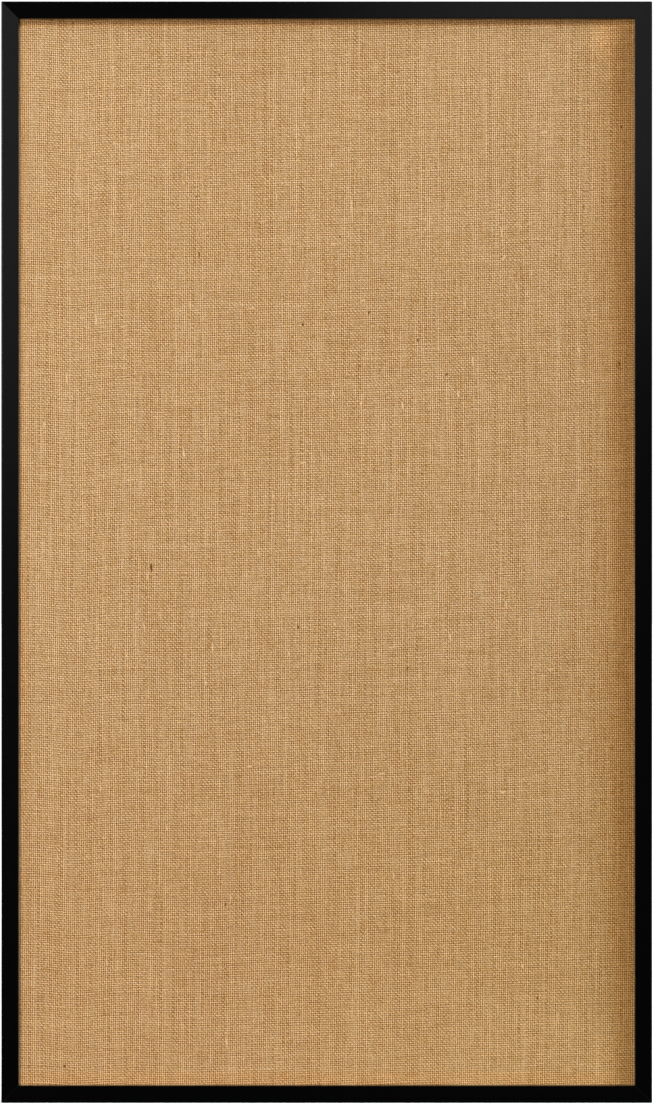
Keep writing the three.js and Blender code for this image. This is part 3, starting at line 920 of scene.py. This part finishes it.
def lacquer_material(name, tangent):
    """Satin black lacquer rubbed along the rail, so that highlights spread across it. Duller behind."""
    material, graph = new_material(name)
    place = graph.place()
    grain = graph.noise(graph.stretched(place, rub_scale(tangent)), detail=3.0)
    cloud = graph.noise(place, scale=30.0, detail=3.0)
    rear = graph.facing(*FACING_REAR)
    front_roughness = graph.add(FRONT_ROUGHNESS, graph.times(grain, 0.02), graph.times(cloud, 0.01))
    rear_roughness = graph.add(REAR_ROUGHNESS, graph.times(grain, 0.2), graph.times(cloud, 0.3))
    relief = graph.times(grain, graph.raised(rear, gain=12.0, base=1.0))
    black = graph.mix(graph.add(0.5, grain), srgb(3.2, 3.2, 3.2), srgb(4.4, 4.4, 4.4))
    graph.surface(
        # A painted highlight along the mitres, in grey
        Base_Color=graph.mix(painted_mitre_highlight(graph, place), black, srgb(24, 24, 24)),
        Roughness=graph.between(rear, front_roughness, rear_roughness),
        Anisotropic=0.70,
        Tangent=graph.vector(*tangent),
        Normal=graph.bump(relief, distance=0.004 * MM, strength=0.2),
    )
    return material


def zinc_material(name, dark, light, roughness, scratch_scale):
    """Zinc-plated steel: a faint spangle, fine scratches and dulled patches."""
    material, graph = new_material(name)
    place = graph.place()
    spangle = graph.node("TexVoronoi", {"Vector": place, "Scale": SPANGLE_SCALE}, output=1)
    spangle_tone, _, _ = graph.split(spangle)
    patch = graph.noise(place, scale=160.0, detail=4.0, roughness=0.6)
    scratch = graph.noise(graph.stretched(place, scratch_scale), detail=3.0, roughness=0.7)
    share = graph.add(0.35, graph.times(spangle_tone, 0.3), patch)
    relief = graph.add(scratch, graph.times(spangle_tone, 0.2))
    graph.surface(
        Base_Color=graph.mix(share, dark, light),
        Metallic=1.0,
        Roughness=graph.add(roughness, graph.times(patch, 0.25), graph.times(scratch, 0.12)),
        Normal=graph.bump(relief, distance=0.02 * MM, strength=0.35),
    )
    return material


def rubber_material():
    """Moulded rubber: nearly black, dusty in its pores."""
    material, graph = new_material("bumper_rubber")
    place = graph.place()
    pores = graph.noise(place, scale=2600.0, detail=2.0)
    dust = graph.noise(place, scale=240.0, detail=4.0, roughness=0.65)
    graph.surface(
        Base_Color=graph.mix(graph.add(0.35, dust), srgb(22, 22, 23), srgb(52, 51, 50)),
        Roughness=graph.raised(dust, gain=0.2, base=0.72),
        Specular_IOR_Level=0.35,
        Normal=graph.bump(pores, distance=0.05 * MM, strength=0.4),
    )
    return material


def fibreboard_material():
    """Pressed wood fibre: felted hairs lying every way, cloudy brown, with dark bits of bark."""
    material, graph = new_material("fibreboard")
    place = graph.place()
    hairs = []
    for turn in FELT_TURNS:
        lie = {"Vector": place, "Rotation": (0.0, turn, 0.0), "Scale": FELT_SHORTENING}
        spot = graph.node("Mapping", lie, vector_type="TEXTURE")
        inputs = {"Vector": spot, "Scale": 170.0, "Detail": 3.0, "Roughness": 0.6, "Distortion": 0.6}
        hair = graph.node("TexNoise", inputs)
        hairs.append(graph.math("ABSOLUTE", graph.math("SUBTRACT", hair, 0.5)))
    felt = graph.add(*hairs)
    cloud = graph.noise(place, scale=24.0, detail=5.0, roughness=0.6)
    bits = graph.node("TexNoise", {"Vector": place, "Scale": 300.0, "Detail": 3.0, "Roughness": 0.6})
    bark = graph.slope(bits, start=0.66, end=0.72)
    fibres = graph.ramp(graph.add(0.15, graph.times(felt, 1.5), graph.times(cloud, 0.4)), [
        (0.20, srgb(112, 82, 52)),
        (0.50, srgb(152, 119, 83)),
        (0.80, srgb(188, 158, 120)),
    ])
    graph.surface(
        Base_Color=graph.mix(bark, fibres, srgb(86, 60, 38)),
        Roughness=graph.raised(cloud, gain=0.2, base=0.86),
        Specular_IOR_Level=0.25,
        Normal=graph.bump(felt, distance=0.2 * MM, strength=0.4),
    )
    return material


def cork_material():
    """Agglomerated cork: warm granules of many tones, with dark seams and pits."""
    material, graph = new_material("cork")
    place = graph.place()
    cells = {"Vector": place, "Scale": GRANULE_SCALE}
    granules = graph.node("TexVoronoi", cells, output=1)
    from_seam = graph.node("TexVoronoi", cells, feature="DISTANCE_TO_EDGE")
    tone, _, _ = graph.split(granules)
    grain = graph.noise(place, scale=1500.0, detail=3.0)
    granule = graph.ramp(graph.add(tone, graph.times(grain, 0.4)), [
        (0.05, srgb(120, 76, 40)),
        (0.40, srgb(176, 126, 76)),
        (0.80, srgb(203, 156, 104)),
        (1.00, srgb(150, 102, 58)),
    ])
    off_seam = graph.slope(from_seam, start=0.0, end=0.09)
    relief = graph.math("MINIMUM", off_seam, graph.add(0.8, grain))
    graph.surface(
        Base_Color=graph.mix(off_seam, srgb(96, 60, 32), granule),
        Roughness=graph.raised(grain, gain=0.15, base=0.85),
        Specular_IOR_Level=0.3,
        Normal=graph.bump(relief, distance=0.2 * MM, strength=0.5),
    )
    return material


def dress(material, *nodes):
    """Gives CAD nodes a material in place of the plain one that they come with."""
    for node in nodes:
        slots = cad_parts[node].data.materials
        slots.clear()
        slots.append(material)


def soften(*nodes):
    """Rounds the sharp edges of stamped and turned pieces a little, so that they catch the light."""
    for node in nodes:
        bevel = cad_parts[node].modifiers.new("edge", "BEVEL")
        bevel.width = EDGE_WIDTH
        bevel.segments = EDGE_SEGMENTS
        bevel.limit_method = "ANGLE"
        bevel.angle_limit = EDGE_ANGLE


def dress_frame():
    end_finish = lacquer_material("lacquer_end", tangent=(0, 0, 1))
    side_finish = lacquer_material("lacquer_side", tangent=(1, 0, 0))
    dress(end_finish, "frame_rail_top", "frame_rail_bottom")
    dress(side_finish, "frame_rail_left", "frame_rail_right")


def dress_hardware():
    stamped = zinc_material(
        "stamped_zinc", srgb(150, 152, 156), srgb(205, 206, 208), 0.34, scratch_scale=(260, 260, 2600))
    turned = zinc_material(
        "screw_zinc", srgb(158, 157, 152), srgb(214, 212, 204), 0.28, scratch_scale=(1500, 1500, 1500))
    wire = zinc_material(
        "ring_zinc", srgb(160, 162, 166), srgb(216, 217, 220), 0.22, scratch_scale=(1800, 300, 300))
    blued = zinc_material(
        "nail_steel", srgb(96, 99, 106), srgb(150, 152, 156), 0.40, scratch_scale=(900, 900, 900))
    buttons = [f"turn_button_{place}" for place in BUTTON_PLACES]
    button_screws = [f"turn_button_screw_{place}" for place in BUTTON_PLACES]
    straps = ["hanger_strap_left", "hanger_strap_right"]
    strap_screws = [f"hanger_screw_{side}_{i}" for side in ("left", "right") for i in (1, 2)]
    dress(stamped, *buttons, *straps)
    dress(turned, *button_screws, *strap_screws)
    dress(wire, "hanger_ring_left", "hanger_ring_right")
    dress(blued, *(f"v_nail_{corner}_{i}" for corner in CORNERS for i in (1, 2)))
    dress(rubber_material(), *(f"wall_bumper_{corner}" for corner in CORNERS))
    dress(cork_material(), "cork_sheet")
    dress(fibreboard_material(), "fibreboard_core")
    soften(*buttons, *straps, *button_screws, *strap_screws)


# Studio


def studio_world():
    """A room that is pale behind the board and dark in front of it. The camera sees it as plain white."""
    world = bpy.data.worlds.new("studio")
    bpy.context.scene.world = world
    world.use_nodes = True
    graph = Graph(world.node_tree)
    direction = graph.node("TexCoord", {}, output=0)
    sideways, towards_wall, _ = graph.split(direction)
    beside = graph.slope(graph.math("ABSOLUTE", sideways), *ROOM_BESIDE)
    behind = graph.slope(towards_wall, *ROOM_BEHIND)
    path = graph.tree.nodes.new("ShaderNodeLightPath")
    mirrored = graph.math("MAXIMUM", path.outputs["Is Glossy Ray"], path.outputs["Is Transmission Ray"])
    room = graph.raised(behind, ROOM_LIGHT, ROOM_DARK)
    beside_share = graph.raised(beside, MIRRORED_BESIDE, MIRRORED_DARK)
    mirrored_room = graph.raised(behind, MIRRORED_BEHIND, beside_share)
    lit = graph.between(mirrored, room, mirrored_room)
    strength = graph.between(path.outputs["Is Camera Ray"], lit, 1.0)
    background = graph.node("Background", {"Color": (1, 1, 1, 1), "Strength": strength})
    out = graph.tree.nodes.new("ShaderNodeOutputWorld")
    graph.feed(out.inputs["Surface"], background)


def area_light(name, place, size, radiance, colour, glossy=True, diffuse=True):
    """A soft lamp aimed at the middle of the board, from which place is measured."""
    data = bpy.data.lights.new(name, "AREA")
    data.shape = "RECTANGLE"
    data.size, data.size_y = size
    data.energy = radiance * math.pi * size[0] * size[1]
    data.color = colour
    lamp = bpy.data.objects.new(name, data)
    bpy.context.scene.collection.objects.link(lamp)
    lamp.location = (cad_low + cad_high) / 2 + Vector(place)
    lamp.rotation_euler = (-Vector(place)).to_track_quat("-Z", "Y").to_euler()
    lamp.visible_camera = False
    lamp.visible_glossy = glossy
    lamp.visible_diffuse = diffuse


def studio_lamps():
    area_light(
        "key", place=(4.77, -1.13, 1.87), size=(2.59, 0.31), radiance=210.8, colour=COOL, glossy=False)
    area_light(
        "top", place=(-0.59, -1.34, 1.25), size=(1.44, 0.21), radiance=9.26, colour=WARM, glossy=False)
    area_light(
        "fill", place=(-0.68, -1.94, -0.30), size=(0.41, 0.41), radiance=39.9, colour=WARM, glossy=False)
    area_light(
        "sheen_right", place=(0.532, -3.963, 1.177), size=(0.873, 1.222), radiance=0.673, colour=WHITE,
        diffuse=False)
    area_light(
        "sheen_left", place=(-2.056, -3.856, 0.926), size=(0.249, 1.364), radiance=18.57, colour=WHITE,
        diffuse=False)
    area_light("rear", place=(1.4, 3.0, 1.5), size=(3.4, 3.4), radiance=1.2, colour=WHITE)


def studio_floor():
    """A pale floor at the board's foot, which turns to white further off, as seen by the camera."""
    material, graph = new_material("floor")
    place = graph.place()
    grain = graph.noise(place, scale=3.0, detail=3.0)
    distance = graph.node("VectorMath", {0: place}, output=1, operation="LENGTH")
    reached = {"Value": distance, "From Min": FLOOR_NEAR, "From Max": FLOOR_FAR}
    far = graph.node("MapRange", reached, interpolation_type="SMOOTHSTEP")
    seen = graph.node("LightPath", {}, output=0)
    glow = graph.raised(far, FLOOR_GLOW_GAIN, FLOOR_GLOW)
    graph.surface(
        Base_Color=graph.mix(graph.add(0.5, grain), srgb(238, 238, 237), srgb(244, 244, 243)),
        Roughness=0.8,
        Emission_Color=(*WHITE, 1.0),
        Emission_Strength=graph.times(seen, glow),
    )
    reach = FLOOR_REACH
    corners = [(-reach, -reach, 0), (reach, -reach, 0), (reach, reach, 0), (-reach, reach, 0)]
    floor = new_mesh("floor", corners, [(0, 1, 2, 3)])
    floor.location.z = cad_low.z
    floor.data.materials.append(material)
    floor.visible_glossy = False
    floor.visible_diffuse = False


def studio_camera():
    """A camera straight before the board, which frames it as the photograph does."""
    middle = (cad_low + cad_high) / 2
    scale = (ACROSS_PER_PX + UP_PER_PX) / 2
    off_right = (BOARD_LEFT_PX + BOARD_RIGHT_PX - FRAME_WIDTH_PX) / 2
    off_down = (BOARD_TOP_PX + BOARD_BOTTOM_PX - FRAME_HEIGHT_PX) / 2
    data = bpy.data.cameras.new("camera")
    data.sensor_width = SENSOR_MM
    data.lens = SENSOR_MM * CAMERA_DISTANCE / (FRAME_HEIGHT_PX * scale)
    data.dof.use_dof = False
    camera = bpy.data.objects.new("camera", data)
    bpy.context.scene.collection.objects.link(camera)
    camera.location = (
        middle.x - off_right * scale,
        cad_low.y - CAMERA_DISTANCE,
        middle.z + off_down * scale,
    )
    camera.rotation_euler = (math.pi / 2, 0, 0)
    bpy.context.scene.camera = camera


# Putting it together

bpy.context.scene.view_settings.view_transform = "Standard"
random.seed(7)
studio_world()
studio_floor()
studio_camera()
studio_lamps()
dress_frame()
dress_hardware()

burlap_finish = burlap_material()
burlap = burlap_sheet()
burlap.data.materials.append(burlap_finish)
solid = burlap.modifiers.new("thickness", "SOLIDIFY")
solid.thickness = CLOTH_THICKNESS
solid.offset = -1
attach(burlap, BOARD)
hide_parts("burlap_cover")

folds = [fold_patch(side, end) for side in (-1, 1) for end in (-1, 1)]
for fold in folds:
    fold.data.materials.append(burlap_finish)

fray = hem_fray()
fray.data.materials.append(yarn_material("jute_ends", srgb(150, 108, 62), srgb(216, 178, 130)))
flecks = photo_bits("burlap_flecks", FLECKS_PX)
flecks.data.materials.append(yarn_material("stalk_bits", srgb(88, 54, 24), srgb(134, 90, 46)))
brown_bits = photo_bits("burlap_brown_bits", BROWN_PX)
brown_bits.data.materials.append(yarn_material("brown_jute", srgb(140, 92, 44), srgb(186, 136, 84)))
slubs = pale_slubs()
slubs.data.materials.append(yarn_material("slub_jute", srgb(196, 156, 108), srgb(240, 206, 162)))
for piece in (*folds, fray, flecks, brown_bits, slubs):
    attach(piece, BOARD)

staples = hem_staples()
staples.data.materials.append(zinc_material(
    "staple_wire", srgb(150, 150, 148), srgb(212, 211, 206), 0.3, scratch_scale=(1200, 1200, 1200)))
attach(staples, BOARD)
